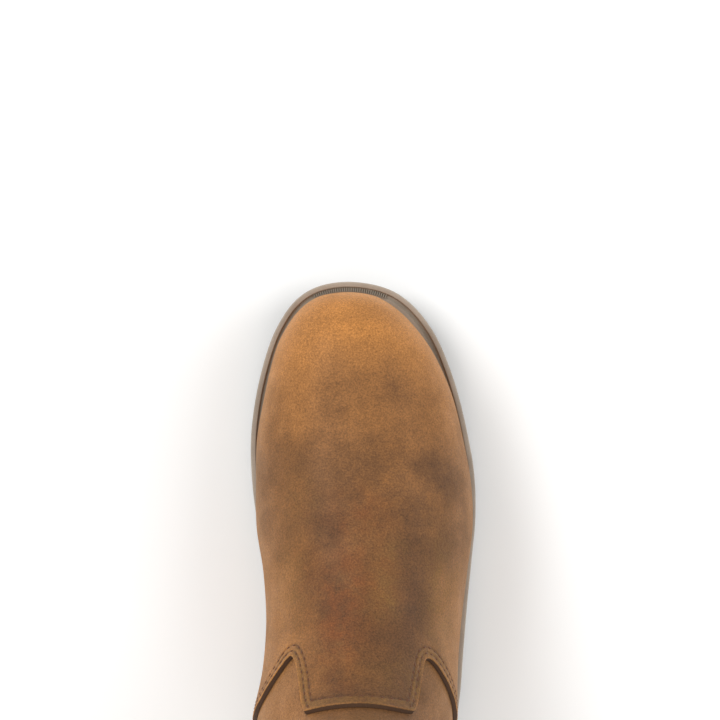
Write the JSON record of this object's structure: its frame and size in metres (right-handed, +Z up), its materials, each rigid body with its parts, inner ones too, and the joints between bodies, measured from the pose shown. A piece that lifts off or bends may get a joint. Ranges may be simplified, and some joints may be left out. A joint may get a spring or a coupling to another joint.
{
  "type": "pull-on work boot",
  "caption": "Right pull-on work boot with a round toe, an overlaid tongue-tab vamp, a plain shaft with pull straps and a lugged sole with a heel.",
  "frame": {"origin": "on the floor under the middle of the boot's box", "axes": "+Z up, +Y towards the toe, +X towards the outer side of the right foot"},
  "size_m": [0.1212, 0.3134, 0.3066],
  "materials": {
    "vamp_leather": "oiled pull-up leather, satin",
    "shaft_leather": "oiled pull-up leather, satin",
    "trim_leather": "folded leather, satin",
    "strap_webbing": "woven webbing, matte",
    "footbed": "felt, matte",
    "cushion_sole": "moulded polyurethane, matte",
    "tread_rubber": "moulded rubber, matte"
  },
  "bodies": {
    "root": {"upper": "shaft_leather", "vamp": "vamp_leather", "heel_counter": "vamp_leather", "side_seam_medial": "vamp_leather", "side_seam_lateral": "vamp_leather", "collar_binding": "trim_leather", "pull_strap_medial": "strap_webbing", "pull_strap_lateral": "strap_webbing", "insole": "footbed", "midsole": "cushion_sole", "outsole": "tread_rubber"}
  },
  "joints": []
}
